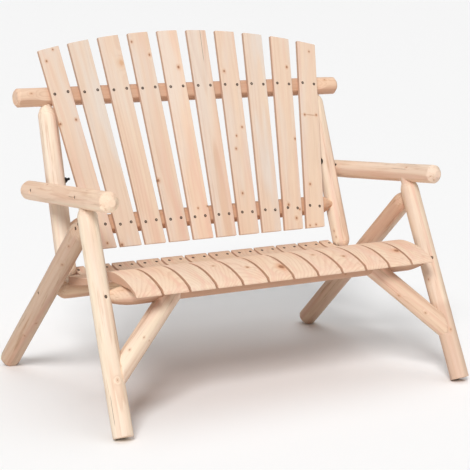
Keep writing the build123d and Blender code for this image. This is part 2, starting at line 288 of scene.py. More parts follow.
woodSurface = {
    "seedShift": 0.37,             # how far apart two pieces lie in the patterns
    "fibreShare": 0.16,
    "ringRelief": 0.35, "fibreRelief": 0.6, "bump": 0.35, "bumpDepth": 0.0006,
    "roughSpread": (-0.05, 0.07),
    "fadeOut": 0.03,               # metres over which a stretch of painted shade fades
}

ringShape = {
    "rise": (0.35, 0.86),          # shares of a ring between which it darkens
    "drop": 0.90,                  # from here on it turns pale again
    "patchy": (0.25, 0.75), "quiet": 0.45,     # the rings are this weak in quiet stretches
}

crackShape = {
    "bend": 3,                     # how far it wanders, in widths
    "dark": 0.3,                   # share of the width that is fully dark
    "ends": (0.3, 0.5),            # shares of the length between which it fades
    "front": -0.012,               # it doesn't show further back than this
    "strength": 0.8,
}

knotShape = {
    "falloff": -0.22,              # how fast the rings calm down round a knot
    "push": 1.5,                   # how far it pushes them, in knot sizes
    "ragged": 0.5,
    "halo": (0.5, 2.4, 0.6),       # from and to in knot sizes, and how strong
    "core": (0.4, 0.95, 0.85),
}


def grainNoise(tree, coords, pattern, shift):
    scale, place, detail, roughness = woodGrain[pattern]
    place = [shift if part is None else part for part in place]
    return noiseOf(tree, stretched(tree, coords, scale, place), 1.0, detail, roughness)


def vectorMath(tree, operation, first, second=(0, 0, 0), output="Vector"):
    return addNode(tree, "VectorMath", {0: first, 1: second}, operation=operation).outputs[output]


def split(tree, vector):
    return addNode(tree, "SeparateXYZ", {0: vector}).outputs


def knotField(tree, coords, knot):
    # distance from a knot's heart, in knot sizes; knots are long ovals along the grain
    size, longer = knot["size"], knot["longer"]
    scale = (1 / size, knot["inwards"] / size, 1 / (size * longer))
    place = [-c * s for c, s in zip(knot["at"], scale)]
    return vectorMath(tree, "LENGTH", stretched(tree, coords, scale, place), output="Value")


def growthRings(tree, coords, look, wobble, near):
    # distance from the tree's heart, pushed about by slow noise and by knots
    heart = vectorMath(tree, "SUBTRACT", coords, (look["heartX"], look["heartY"], 0))
    heart = vectorMath(tree, "MULTIPLY", heart, (1, 1, look["lean"]))
    place = vectorMath(tree, "LENGTH", heart, output="Value")
    place = calc(tree, "MULTIPLY_ADD", wobble, look["wobble"], place)
    for knot, distance in near:
        power = calc(tree, "MULTIPLY", distance, calc(
            tree, "MULTIPLY", distance, knotShape["falloff"]))
        falloff = calc(tree, "POWER", 2.718, power)
        push = knot["size"] * knot.get("push", knotShape["push"])
        place = calc(tree, "MULTIPLY_ADD", falloff, push, place)
    cycle = calc(tree, "FRACT", calc(tree, "MULTIPLY", place, 1 / look["ringGap"]))
    drop = remap(tree, cycle, ringShape["drop"], 1.0, 1.0, 0.0)
    return calc(tree, "MULTIPLY", remap(tree, cycle, *ringShape["rise"]), drop)


def paintKnots(tree, tone, near, fine):
    # a rosy halo round a brown heart
    loose = knotShape["ragged"]
    for knot, distance in near:
        ragged = calc(tree, "MULTIPLY_ADD", fine, loose, calc(tree, "ADD", distance, -loose / 2))
        for part in ("halo", "core"):
            start, end, share = knotShape[part]
            share = remap(tree, ragged, start, end, share * knot.get("depth", 1.0), 0)
            tone = mixColour(tree, share, tone, knot.get(part, woodTones[part]))
    return tone


def paintCracks(tree, tone, coords, cracks, broad):
    # short dark lines along the grain, on the front half of the piece
    for crack in cracks:
        width, length = crack["width"], crack["length"]
        place = vectorMath(tree, "SUBTRACT", coords, crack["at"])
        turn = {"Vector": place, "Axis": (0, 0, 1), "Angle": crack.get("angle", 0.0)}
        parts = split(tree, addNode(tree, "VectorRotate", turn).outputs[0])
        reach = width * crackShape["bend"]
        bend = calc(tree, "MULTIPLY_ADD", broad, reach, -reach / 2)
        line = calc(tree, "MULTIPLY_ADD", parts["Z"], crack.get("slant", 0.0), parts["X"])
        across = calc(tree, "ABSOLUTE", calc(tree, "ADD", line, bend))
        side = remap(tree, across, width * crackShape["dark"], width, 1, 0)
        start, end = [length * share for share in crackShape["ends"]]
        ends = remap(tree, calc(tree, "ABSOLUTE", parts["Z"]), start, end, 1, 0)
        facing = calc(tree, "GREATER_THAN", parts["Y"], crackShape["front"])
        share = calc(tree, "MULTIPLY", calc(tree, "MULTIPLY", side, ends), facing)
        share = calc(tree, "MULTIPLY", share, crackShape["strength"])
        tone = mixColour(tree, share, tone, woodTones["crack"])
    return tone


def newMaterial(name):
    mat = bpy.data.materials.new(name)
    mat.use_nodes = True
    tree = mat.node_tree
    coords = addNode(tree, "TexCoord", {}).outputs
    return mat, tree, tree.nodes["Principled BSDF"], coords


def woodMaterial(name, look):
    mat, tree, shader, textures = newMaterial(name)
    coords = textures["Object"]
    shift = look["seed"] * woodSurface["seedShift"]
    fields = {pattern: grainNoise(tree, coords, pattern, shift) for pattern in woodGrain}
    near = [(knot, knotField(tree, coords, knot)) for knot in look["knots"]]
    rings = growthRings(tree, coords, look, fields["wobble"], near)
    quiet = look["contrast"] * ringShape["quiet"]
    ringShare = calc(tree, "MULTIPLY", rings, remap(
        tree, fields["patchy"], *ringShape["patchy"], quiet, look["contrast"]))
    tone = mixColour(tree, ringShare, woodTones["early"], woodTones["late"])

    # painted shade: side faces and faces turned down, found from their normals in the piece's own
    # frame
    outward = split(tree, textures["Normal"])
    fields["sideShade"] = calc(tree, "ABSOLUTE", outward["X"])
    fields["underShade"] = calc(tree, "MULTIPLY", outward[look["downAxis"]], -1.0)
    for pattern, start, full, share, over in woodLayers:
        share = remap(tree, fields[pattern], start, full, 0, look[share])
        tone = mixColour(tree, share, tone, woodTones[over])
    # painted shade over a stretch along the piece
    if "darker" in look:
        start, end, share = look["darker"]
        along, fade = split(tree, coords)["Z"], woodSurface["fadeOut"]
        inside = calc(tree, "MULTIPLY", remap(tree, along, start, start + fade, 0, share),
                      remap(tree, along, end - fade, end, 1, 0))
        tone = mixColour(tree, inside, tone, woodTones["paintedShade"])
    fibreShare = remap(tree, fields["fibre"], 0.35, 0.75, 0, woodSurface["fibreShare"])
    tone = mixColour(tree, fibreShare, tone, woodTones["late"])
    tone = paintKnots(tree, tone, near, fields["fine"])
    tone = paintCracks(tree, tone, coords, look["cracks"], fields["broad"])
    tone = mixColour(tree, 1.0, tone, look["tint"], "MULTIPLY")
    tree.links.new(tone, shader.inputs["Base Color"])

    low, high = woodSurface["roughSpread"]
    rough = remap(tree, fields["fibre"], 0.3, 0.7, look["rough"] + low, look["rough"] + high)
    tree.links.new(rough, shader.inputs["Roughness"])
    shader.inputs["Specular IOR Level"].default_value = look["shine"]
    height = calc(tree, "MULTIPLY_ADD", rings, woodSurface["ringRelief"],
                  calc(tree, "MULTIPLY", fields["fibre"], woodSurface["fibreRelief"]))
    bump = addNode(tree, "Bump", {"Height": height, "Strength": woodSurface["bump"],
                                  "Distance": woodSurface["bumpDepth"]})
    tree.links.new(bump.outputs[0], shader.inputs["Normal"])
    return mat


def seeded(seed):
    return np.random.default_rng(seed)


logShape = {
    "around": 96,           # points round a log
    "stationGap": 7 * mm,
    "peelDepth": (0.6 * mm, 1.9 * mm),     # how deep the drawknife cuts
    "peelLength": (0.07, 0.34),
    "wander": 0.35 * mm,    # slow unevenness of the bare log
    "skin": 0.45 * mm,      # kept back from the solid's surface
    "edgeSteps": 8,         # rings over a rounded end
    "shoulderSteps": 14,    # rings over a tapered shoulder
    "swell": 0.92,          # how full a shoulder is
    "tenonEdge": 0.6 * mm,
    "bareFrom": 0.8,        # the waves start at this share of the radius
    "whittle": (0.012, 0.035),             # depth of the shoulders' flats, in radii
}


def endStations(end, radius, reach, way):
    # (distance along the log, radius there) pairs from an end inwards
    rows = []
    if end["kind"] == "sawn":
        edge, soft, steps = end["edge"], end["soft"], logShape["edgeSteps"]
        for step in range(steps + 1):
            turn = step / steps * math.pi / 2
            place = edge * soft * (1 - math.sin(turn))
            rows.append((edge * soft - place, radius - edge + edge * math.sin(turn)))
    else:
        neck, shoulder, tenon = end["neck"], end["shoulder"], end["tenon"]
        edge = logShape["tenonEdge"]
        rows += [(0, neck - edge), (edge, neck), (tenon * 0.5, neck), (tenon, neck)]
        for step in range(1, logShape["shoulderSteps"] + 1):
            share = step / logShape["shoulderSteps"]
            swell = math.sin(share * math.pi / 2) ** logShape["swell"]
            rows.append((tenon + share * shoulder, neck + (radius - neck) * swell))
    return [(reach + way * place, size) for place, size in rows]


def buildLog(name, log, ends, seed, facets=24, carve=None):
    rng = seeded(seed)
    radius = log["radius"] - logShape["skin"]
    length = log["length"]
    low = endStations(ends[0], radius, 0.0, 1)
    high = endStations(ends[1], radius, length, -1)
    count = max(4, int((high[-1][0] - low[-1][0]) / logShape["stationGap"]))
    middle = [(place, radius) for place in np.linspace(low[-1][0], high[-1][0], count + 1)[1:-1]]
    rows = low + middle + high[::-1]
    places = np.array([row[0] for row in rows])
    radii = np.array([row[1] for row in rows])
    angles = np.linspace(0, 2 * math.pi, logShape["around"], endpoint=False)
    skin = np.repeat(radii[:, None], len(angles), axis=1)

    # slow waves round and along the log
    bare = logShape["bareFrom"]
    full = smoothStep((radii / radius - bare) / (1 - bare))[:, None]
    for waves in (1, 2, 3):
        size = wander(rng, 7, places, logShape["wander"] / waves)[:, None]
        phase = wander(rng, 5, places, 1.5)[:, None] + rng.uniform(0, 6.28)
        skin -= full * np.abs(size * (1 + np.cos(waves * angles[None, :] + phase)) / 2)

    # drawknife cuts: long flats that fade out at their ends
    for _ in range(facets):
        turn = rng.uniform(0, 2 * math.pi)
        depth = rng.uniform(*logShape["peelDepth"])
        reach = rng.uniform(*logShape["peelLength"])
        centre = rng.uniform(0, length)
        fade = 1 - np.clip(np.abs(places - centre) / reach, 0, 1) ** 2
        cut(skin, angles, turn, radius - depth * fade, fade > 0)

    # shoulders and eased ends are whittled to flats all round
    for end, ownRows, step in ((ends[0], len(low), 1), (ends[1], len(high), -1)):
        isTenon = end["kind"] == "tenon"
        active = np.zeros(len(rows), bool)
        active[4 if isTenon else 0:ownRows if isTenon else ownRows + 2] = True
        if end["flats"]:
            whittle(rng, skin, angles, radii, active[::step], end["flats"])
    if carve:
        carve(skin, angles, places)
    rings = np.empty((len(rows), len(angles), 3))
    rings[:, :, 0] = skin * np.sin(angles)[None, :]
    rings[:, :, 1] = skin * np.cos(angles)[None, :]
    rings[:, :, 2] = places[:, None]
    return buildLoft(name, rings, log["matrix"])


def cut(skin, angles, turn, depths, active):
    # planes the skin down to flats whose distance from the axis is given per station
    facing = np.cos(angles - turn)
    flat = np.where(facing > 0.2, 1 / np.maximum(facing, 0.2), 1e9)[None, :] * depths[:, None]
    flat = np.where(active[:, None], flat, 1e9)
    np.minimum(skin, flat, out=skin)


def whittle(rng, skin, angles, radii, active, flats):
    turn = rng.uniform(0, 6.28)
    for number in range(flats):
        lean = turn + (number + rng.uniform(-0.3, 0.3)) * 2 * math.pi / flats
        cut(skin, angles, lean, radii * (1 - rng.uniform(*logShape["whittle"])), active)


front = np.array((0, -1, 0.0))
rear = np.array((0, 1, 0.0))
above = np.array((0, 0, 1.0))


def sawnEnd(edge, soft=1.0, flats=0):
    return {"kind": "sawn", "edge": edge * mm, "soft": soft, "flats": flats}


def tenonEnd(neck, shoulder, tenon):
    return {"kind": "tenon", "neck": neck * mm, "shoulder": shoulder * mm, "tenon": tenon * mm,
            "flats": 11}


peeledWood = {
    "ranges": {"heartX": (-0.004, 0.004), "heartY": (-0.004, 0.004)},
    "lean": 0.0, "wobble": 0.012, "ringGap": 0.0024, "contrast": 0.5, "cream": 0.75,
    "pink": 0.7, "resin": 0.55, "bast": 0.85, "grey": 0.3, "side": 0.0, "under": 0.0,
    "downAxis": "Y", "rough": 0.55, "shine": 0.3, "tint": colour(1, 1, 1),
}
# side darkens the boards' side faces: painted shade in the gaps between them
sawnWood = {
    "ranges": {"heartX": (-0.03, 0.03), "heartY": (-0.09, -0.05), "lean": (-0.05, 0.05),
               "contrast": (0.14, 0.3), "cream": (0.1, 0.4), "pink": (0.35, 0.75)},
    "wobble": 0.022, "ringGap": 0.0056, "resin": 0.28, "bast": 0.15, "grey": 0.7,
    "side": 0.85, "under": 0.0, "downAxis": "Y", "rough": 0.6, "shine": 0.22,
    "tint": colour(0.945, 0.935, 0.935),
}


def woodLook(wood, seed, **changes):
    rng = random.Random(seed)
    picked = {key: rng.uniform(*limits) for key, limits in wood["ranges"].items()}
    return {**wood, **picked, "seed": seed, "knots": [], "cracks": [], **changes}


def onSkin(skin, along, turn):
    return (skin * mm * math.sin(turn), skin * mm * math.cos(turn), along * mm)


def knotOnLog(skin, along, angle, size):
    # placed along the log and round it from the side that faces forwards or up
    at = onSkin(skin, along, math.radians(angle))
    return {"at": at, "size": size * mm, "longer": 1.4, "inwards": 1.0, "depth": 0.6}


def crackOnLog(skin, along, angle, width, length):
    turn = math.radians(angle)
    return {"at": onSkin(skin, along, turn), "angle": turn, "width": width * mm,
            "length": length * mm}


def finishLog(piece, name, skin, look):
    marks = {"knots": [knotOnLog(skin, *knot) for knot in look.get("knots", ())],
             "cracks": [crackOnLog(skin, *crack) for crack in look.get("cracks", ())]}
    material = woodMaterial(f"peeled log {name}", woodLook(peeledWood, **{**look, **marks}))
    finishPiece(piece, material, "peeled_log", name)


# skin is the distance of the marks from the axis in mm; a knot is (along, angle, size) and a
# crack is (along, angle, width, length)
frontLeg = {
    "skin": 27.6, "ends": [sawnEnd(1.4), tenonEnd(19.0, 24.0, 36.0)],
    "left": {
        "seed": 11, "tint": colour(1.03, 1.06, 1.07), "cream": 0.95, "pink": 0.35,
        "knots": [(143, 6, 3)], "cracks": [(70, 62, 0.9, 90)],
    },
    "right": {
        # the darker stretch near the foot is painted shade
        "seed": 12, "pink": 0.95, "tint": colour(0.94, 0.92, 0.92), "darker": (-0.1, 0.24, 0.45),
        "knots": [(142, 14, 4), (300, 70, 3.5)],
    },
}
rearLeg = {
    "skin": 29.8, "ends": [sawnEnd(7.0, 1.1, 12), tenonEnd(17.0, 34.0, 38.0)],
    "left": {
        "seed": 21, "tint": colour(0.73, 0.66, 0.61), "pink": 0.8,
        "knots": [(657, 55, 3.5), (574, 38, 4), (265, 4, 3.5), (190, 30, 3)],
    },
    "right": {
        "seed": 22, "tint": colour(0.84, 0.76, 0.7), "pink": 0.9,
        "knots": [(320, 20, 4)],
    },
}
backPost = {
    "skin": 28, "ends": [tenonEnd(11.0, 34.0, 34.0), tenonEnd(15.0, 34.0, 36.0)],
    "left": {
        "seed": 31, "tint": colour(1.04, 1.08, 1.1), "cream": 0.9,
        "knots": [(260, 30, 3.5)],
    },
    "right": {
        "seed": 32, "pink": 0.7,
        "knots": [(95, 70, 4), (180, 120, 3.5), (75, 62, 3)],
    },
}
armrest = {
    "skin": 28, "ends": [sawnEnd(18.0, 1.1, 9), sawnEnd(12.0, 1.3, 12)],
    "left": {
        "seed": 41, "tint": colour(1.12, 1.1, 1.08), "cream": 1.0, "pink": 0.3, "grey": 0.1,
        "darker": (0.1, 0.7, 0.18), "bast": 0.6,
        "knots": [(420, 20, 3.5)], "cracks": [(205, 80, 0.8, 46)],
    },
    "right": {
        "seed": 42, "pink": 0.75, "knots": [(222, 20, 4), (120, 48, 3.5)],
        "cracks": [(150, 62, 0.7, 80), (122, 10, 0.8, 70)],
    },
    # hollows left by knots: distance from the front, angle, depth and reach
    "hollows": {
        "left": [(95, 20, 2.6, 60), (250, -30, 2.4, 80), (400, 50, 2.6, 70)],
        "right": [(222, 5, 4.6, 42), (120, 25, 2.8, 70), (330, -20, 2.4, 80)],
    },
}


def foldLow(piece):
    # nothing of a foot goes below the floor
    for vertex in piece.data.vertices:
        world = piece.matrix_world @ vertex.co
        if world.z < 0:
            world.z = 0
            vertex.co = piece.matrix_world.inverted() @ world


def hollowOut(log, hollows):
    def carve(skin, angles, places):
        for along, angle, depth, reach in hollows:
            fade = 1 - np.clip(np.abs(places - along * mm) / (reach * mm), 0, 1) ** 2
            cut(skin, angles, math.radians(angle), log["radius"] - depth * mm * fade, fade > 0)
    return carve


for kind, node, facing in ((frontLeg, "front_leg", front), (rearLeg, "rear_leg", front),
                           (backPost, "back_post", front), (armrest, "armrest", above)):
    for hand in ("left", "right"):
        name = f"{node}_{hand}"
        log, look = readLog(name, facing), kind[hand]
        hollows = kind.get("hollows", {}).get(hand, ())
        piece = buildLog(f"{name}_log", log, kind["ends"], look["seed"],
                         carve=hollowOut(log, hollows))
        if "leg" in node:
            foldLow(piece)
        finishLog(piece, name, kind["skin"], look)
print("legs, posts and armrests done")


def planeFlat(log, height, fadeOut):
    # the flat that the back slats lie on, fading out towards the ends
    def carve(skin, angles, places):
        fromEnd = np.minimum(places, log["length"] - places)
        inset = smoothStep(fromEnd / (fadeOut * mm * 1.5) - 0.4)
        depth = (log["radius"] - height * mm) * inset
        cut(skin, angles, 0.0, log["radius"] - depth, inset > 0)
    return carve


railSkin = 28
# under darkens each rail's underside and darker the stretch behind or under the slats, both
# painted shade; the back rails' tints are darkened for the same painted shade
rails = {
    "front_seat_rail": {
        "ends": [tenonEnd(16.5, 64.0, 38.0)] * 2,
        "look": {"seed": 51, "tint": colour(0.95, 0.88, 0.82), "pink": 0.9, "under": 0.95,
                 "darker": (0.14, 0.95, 0.95), "knots": [(300, 10, 4), (760, -20, 4)]},
    },
    "rear_seat_rail": {
        "ends": [tenonEnd(12.0, 24.0, 38.0)] * 2,
        "look": {"seed": 52, "tint": colour(0.93, 0.87, 0.8), "under": 0.7},
    },
    "back_lower_rail": {
        "ends": [tenonEnd(14.0, 34.0, 32.0)] * 2, "flat": (22.4, 58.0),
        "look": {"seed": 53, "tint": colour(0.93, 0.8, 0.7), "pink": 0.9, "under": 0.7,
                 "darker": (0.05, 0.90, 0.6)},
    },
    "back_top_rail": {
        "ends": [sawnEnd(7.0, 1.0, 10), sawnEnd(7.0, 1.0, 9)], "flat": (21.3, 40.0),
        "look": {"seed": 54, "tint": colour(0.98, 0.89, 0.82), "pink": 0.9, "under": 0.6,
                 "darker": (0.08, 1.02, 0.65), "knots": [(40, 10, 3.5), (1040, 30, 3.5)]},
    },
}
backLean = math.radians(19.93)
backFacing = np.array((0, -math.cos(backLean), math.sin(backLean)))

for name, rail in rails.items():
    log = readLog(name, backFacing if "back" in name else front)
    look = {"downAxis": "X", **rail["look"]}
    piece = buildLog(f"{name}_log", log, rail["ends"], look["seed"],
                     carve=planeFlat(log, *rail["flat"]) if "flat" in rail else None)
    finishLog(piece, name, railSkin, look)
print("rails done")


kneeBrace = {
    "skin": 29,
    "horn": 16.0,        # the flat-cut ends run this far into both logs, measured from their axes
    "left": {
        "seed": 61, "cream": 0.9,
        "knots": [(130, 24, 2.6), (134, -14, 2.5), (80, 52, 3.2)],
    },
    "right": {
        "seed": 62, "pink": 0.95, "tint": colour(0.95, 0.88, 0.84),
        "knots": [(187, 43, 4), (92, 19, 3)],
    },
}


def buildBrace(hand):
    name = f"knee_brace_{hand}"
    log = readLog(name, front)
    piece = buildLog(f"{name}_log", log, [sawnEnd(0.5), sawnEnd(0.5)],
                     kneeBrace[hand]["seed"], facets=12)
    for other, facing in (("front_seat_rail", front), (f"front_leg_{hand}", front)):
        trimPastAxis(piece, readLog(other, facing)["matrix"])
    return piece


def trimPastAxis(piece, matrix):
    # cuts the end square to where it meets another log, short of that log's axis
    middle = sum((piece.matrix_world @ v.co for v in piece.data.vertices), Vector())
    middle /= len(piece.data.vertices)
    way = matrix.to_3x3() @ Vector((0, 0, 1))
    origin = matrix.translation
    out = middle - origin
    out -= way * out.dot(way)
    out.normalize()
    plane = origin + out * kneeBrace["horn"] * mm
    inverse = piece.matrix_world.inverted()

    def trim(work):
        bmesh.ops.bisect_plane(work, geom=work.verts[:] + work.edges[:] + work.faces[:],
                               plane_co=inverse @ plane, plane_no=inverse.to_3x3() @ -out,
                               clear_outer=True)
        openEdges = [edge for edge in work.edges if edge.is_boundary]
        bmesh.ops.holes_fill(work, edges=openEdges)
        bmesh.ops.recalc_face_normals(work, faces=work.faces)

    editMesh(piece, trim)


for hand in ("left", "right"):
    finishLog(buildBrace(hand), f"knee_brace_{hand}", kneeBrace["skin"], kneeBrace[hand])
print("knee braces done")


slatLoft = {
    "cornerSteps": 4,
    "acrossSteps": 8,
    "upSteps": 2,
}


def sectionPath(rounding, halfWidth, low, high):
    # (across, height) points round a board's rounded section, all the way round
    steps = slatLoft["cornerSteps"]
    corners = []
    for number, (across, up) in enumerate(((1, 1), (-1, 1), (-1, -1), (1, -1))):
        centreX = across * (halfWidth - rounding)
        centreY = high - rounding if up > 0 else low + rounding
        turns = [math.radians(90 * (number + step / steps)) for step in range(steps + 1)]
        corners.append([(centreX + rounding * math.cos(turn), centreY + rounding * math.sin(turn))
                        for turn in turns])
    path = []
    for number, corner in enumerate(corners):
        path += corner
        start, end = corner[-1], corners[(number + 1) % 4][0]
        spans = slatLoft["acrossSteps"] if number % 2 == 0 else slatLoft["upSteps"]
        path += [tuple(a + (b - a) * (step / spans) for a, b in zip(start, end))
                 for step in range(1, spans)]
    return path


def roundedBack(ease, share):
    # how far an eased edge lies back, from 0 where it ends to its full size at the very end
    return ease * (1 - math.sqrt(max(0.0, 1 - share ** 2)))


def readOutline(name, side):
    # a seat slat's top and under lines, as (Y, Z) rows from nose to rear, seen on one side face
    mesh, points = nodes[name].data, nodePoints(name)
    reach = points[:, 0].max() if side > 0 else points[:, 0].min()
    corners = [tuple(point.round(6)) for point in points[:, 1:]]
    seen = {}
    for polygon in mesh.polygons:
        if all(abs(points[v][0] - reach) < reading["sameSpot"] for v in polygon.vertices):
            ring = [corners[v] for v in polygon.vertices]
            for first, second in zip(ring, ring[1:] + ring[:1]):
                key = frozenset((first, second))
                seen[key] = seen.get(key, 0) + 1
    links = {}
    for key, count in seen.items():
        if count == 1:
            first, second = key
            links.setdefault(first, []).append(second)
            links.setdefault(second, []).append(first)
    nose = min(links)
    rear = max(corner[0] for corner in links)
    lines = []
    for step in links[nose]:
        line = [nose, step]
        while line[-1][0] < rear - reading["sameSpot"]:
            ahead = [corner for corner in links[line[-1]] if corner != line[-2]]
            line.append(ahead[0])
        lines.append(np.array(line))
    lines.sort(key=lambda line: -line[-1][1])
    return lines


seatSlat = {
    "rounding": 2.2 * mm,
    "endRounding": 1.6 * mm,
    "wander": 0.35 * mm,     # slight unevenness of the sawn board
    "stationGap": 5 * mm,
    "noseGap": 1.0 * mm,     # closer stations over the rolled nose
    "noseReach": 34 * mm,
    "edgeSteps": 5,          # stations over the rounding of an end
    "bends": 6,              # points of the unevenness
    "thinning": 0.8,         # share of the end rounding that the thickness takes
    "roundest": 0.42,        # a corner's rounding is at most this share of the thickness
    "seed": 200,
}


def seatStations(nose, rear):
    # distances behind the nose, with the nose's and the rear edge's rounding
    steps = seatSlat["edgeSteps"]
    ease = [seatSlat["endRounding"] * (1 - math.cos(step / steps * math.pi / 2))
            for step in range(steps)]
    start = [(place, 1 - place / seatSlat["endRounding"]) for place in ease]
    nosePlaces = np.arange(seatSlat["endRounding"], seatSlat["noseReach"], seatSlat["noseGap"])
    backPlaces = np.linspace(seatSlat["noseReach"], rear - nose - seatSlat["endRounding"],
                             int((rear - nose) / seatSlat["stationGap"]))
    plain = [(place, 0.0) for place in (*nosePlaces, *backPlaces)]
    finish = [(rear - nose - place, share) for place, share in reversed(start)]
    return start + plain + finish


def buildSeatSlat(name, number, count):
    side = 1 if number <= count / 2 else -1
    top, under = readOutline(name, side)
    low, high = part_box(name)
    rng = seeded(seatSlat["seed"] + number)
    centre, halfWidth = (low.x + high.x) / 2, (high.x - low.x) / 2
    nose, rear = top[0][0], top[-1][0]
    stations = seatStations(nose, rear)
    places = np.array([place for place, _ in stations])
    bow = wander(rng, seatSlat["bends"], places, seatSlat["wander"])
    rings = []
    for (place, share), offset in zip(stations, bow):
        place = nose + place
        upper = np.interp(place, top[:, 0], top[:, 1])
        lower = np.interp(place, under[:, 0], under[:, 1])
        shrink = roundedBack(seatSlat["endRounding"], share)
        thinning = shrink * seatSlat["thinning"]
        upper, lower = upper - thinning, lower + thinning
        rounding = min(seatSlat["rounding"], (upper - lower) * seatSlat["roundest"])
        width = halfWidth - shrink - abs(offset)
        path = sectionPath(rounding, width, lower, upper)
        rings.append([(across, height, -place) for across, height in path])
    turn = Matrix(((1, 0, 0, centre), (0, 0, -1, 0), (0, 1, 0, 0), (0, 0, 0, 1)))
    return buildBoard(name, rings, turn)


def nodeNose(name):
    return nodePoints(name)[:, 1].min()


def notchForPost(piece, name):
    # the corner cut out of an end slat, clear of the back post
    points, near = nodePoints(name), reading["sameSpot"]
    rear = points[:, 1].max()
    outer = 1 if points[:, 0].mean() > 0 else -1
    onBack = points[np.abs(points[:, 1] - rear) < near]
    cornerX = (onBack[:, 0] * outer).max() * outer
    onSide = points[np.abs(points[:, 0] - (points[:, 0] * outer).max() * outer) < near]
    cornerY = onSide[:, 1].max()
    block = cutterBlock((cornerX, cornerY, points[:, 2].min() - 0.05),
                        (cornerX + outer * 0.2, cornerY + 0.2, points[:, 2].max() + 0.05))
    takeAway(piece, block)


def cutterBlock(first, second):
    bpy.ops.mesh.primitive_cube_add(size=1)
    block = bpy.context.object
    block.location = (Vector(first) + Vector(second)) / 2
    block.scale = [abs(a - b) for a, b in zip(first, second)]
    return block


def takeAway(piece, *cutters):
    # carves the cutters out of the piece and deletes them
    bpy.context.view_layer.update()
    for cutter in cutters:
        carve = piece.modifiers.new("carve", "BOOLEAN")
        carve.operation = "DIFFERENCE"
        carve.solver = "EXACT"
        carve.object = cutter
    graph = bpy.context.evaluated_depsgraph_get()
    carved = bpy.data.meshes.new_from_object(piece.evaluated_get(graph))
    piece.modifiers.clear()
    piece.data = carved
    for cutter in cutters:
        bpy.data.objects.remove(cutter)


def onBoard(across, along, size, longer=1.2, **looks):
    # a knot right through a board; across is from its centre line, along from its near end
    return {"across": across * mm, "along": along * mm, "size": size * mm, "longer": longer,
            "inwards": 0.0, **looks}


def finishBoard(piece, name, slotName, seed, start, way, look):
    # the marks' places move into the board's own frame
    marks = {kind: [{**mark, "at": (mark["across"] * way, 0.0, start - mark["along"] * way)}
                    for mark in look.get(kind, ())] for kind in ("knots", "cracks")}
    look = woodLook(sawnWood, seed, **{**look, **marks})
    finishPiece(piece, woodMaterial(f"sawn board {name}", look), slotName, name)


backSlat = {
    "rounding": 1.6 * mm,
    "endRounding": 1.1 * mm,
    "stationGap": 9 * mm,
    "wander": 0.3 * mm,
    "edgeSteps": 4,
    "bends": 6,
    "seed": 300,
}


def readBoard(name):
    # a back slat's frame, width, thickness and the lines of its lower and upper ends
    way, _ = longestWay(name)
    points = nodePoints(name)
    matrix = localFrame(points.mean(axis=0), way, backFacing)
    local = toLocal(matrix, points)
    middle = (local.min(axis=0) + local.max(axis=0)) / 2
    matrix = matrix @ Matrix.Translation(middle)
    local = local - middle
    half = np.abs(local).max(axis=0)
    lines = []
    for keep in (local[:, 2] < 0, local[:, 2] > 0):
        line = np.unique(local[keep][:, [0, 2]].round(6), axis=0)
        lines.append(line)
    return {"matrix": matrix, "half": half, "low": lines[0], "high": lines[1]}


def buildBackSlat(name, number):
    board = readBoard(name)
    rng = seeded(backSlat["seed"] + number)
    ease = backSlat["endRounding"]
    steps = backSlat["edgeSteps"]
    ends = [ease * (1 - math.cos(step / steps * math.pi / 2)) for step in range(steps + 1)]
    length = board["half"][2] * 2
    count = int(length / backSlat["stationGap"])
    shares = np.linspace(0, 1, count + 1)[1:-1]
    rings = []
    stations = [(0.0, place) for place in ends] + [(share, 0.0) for share in shares]
    stations += [(1.0, -place) for place in reversed(ends)]
    bow = wander(rng, backSlat["bends"], np.arange(len(stations)) * 1.0, backSlat["wander"])
    for (share, shift), offset in zip(stations, bow):
        atEnd = shift or share in (0.0, 1.0)
        inset = roundedBack(ease, 1 - abs(shift) / ease) if atEnd else 0.0
        path = sectionPath(backSlat["rounding"], board["half"][0] - inset - abs(offset),
                           -board["half"][1] + inset, board["half"][1] - inset)
        ring = []
        for across, height in path:
            low = np.interp(across, board["low"][:, 0], board["low"][:, 1])
            high = np.interp(across, board["high"][:, 0], board["high"][:, 1])
            ring.append((across, height, low + (high - low) * share + shift))
        rings.append(ring)
    return buildBoard(name, rings, board["matrix"])


def crackOnBoard(across, along, width, length, **looks):
    return {"across": across * mm, "along": along * mm, "width": width * mm,
            "length": length * mm, **looks}


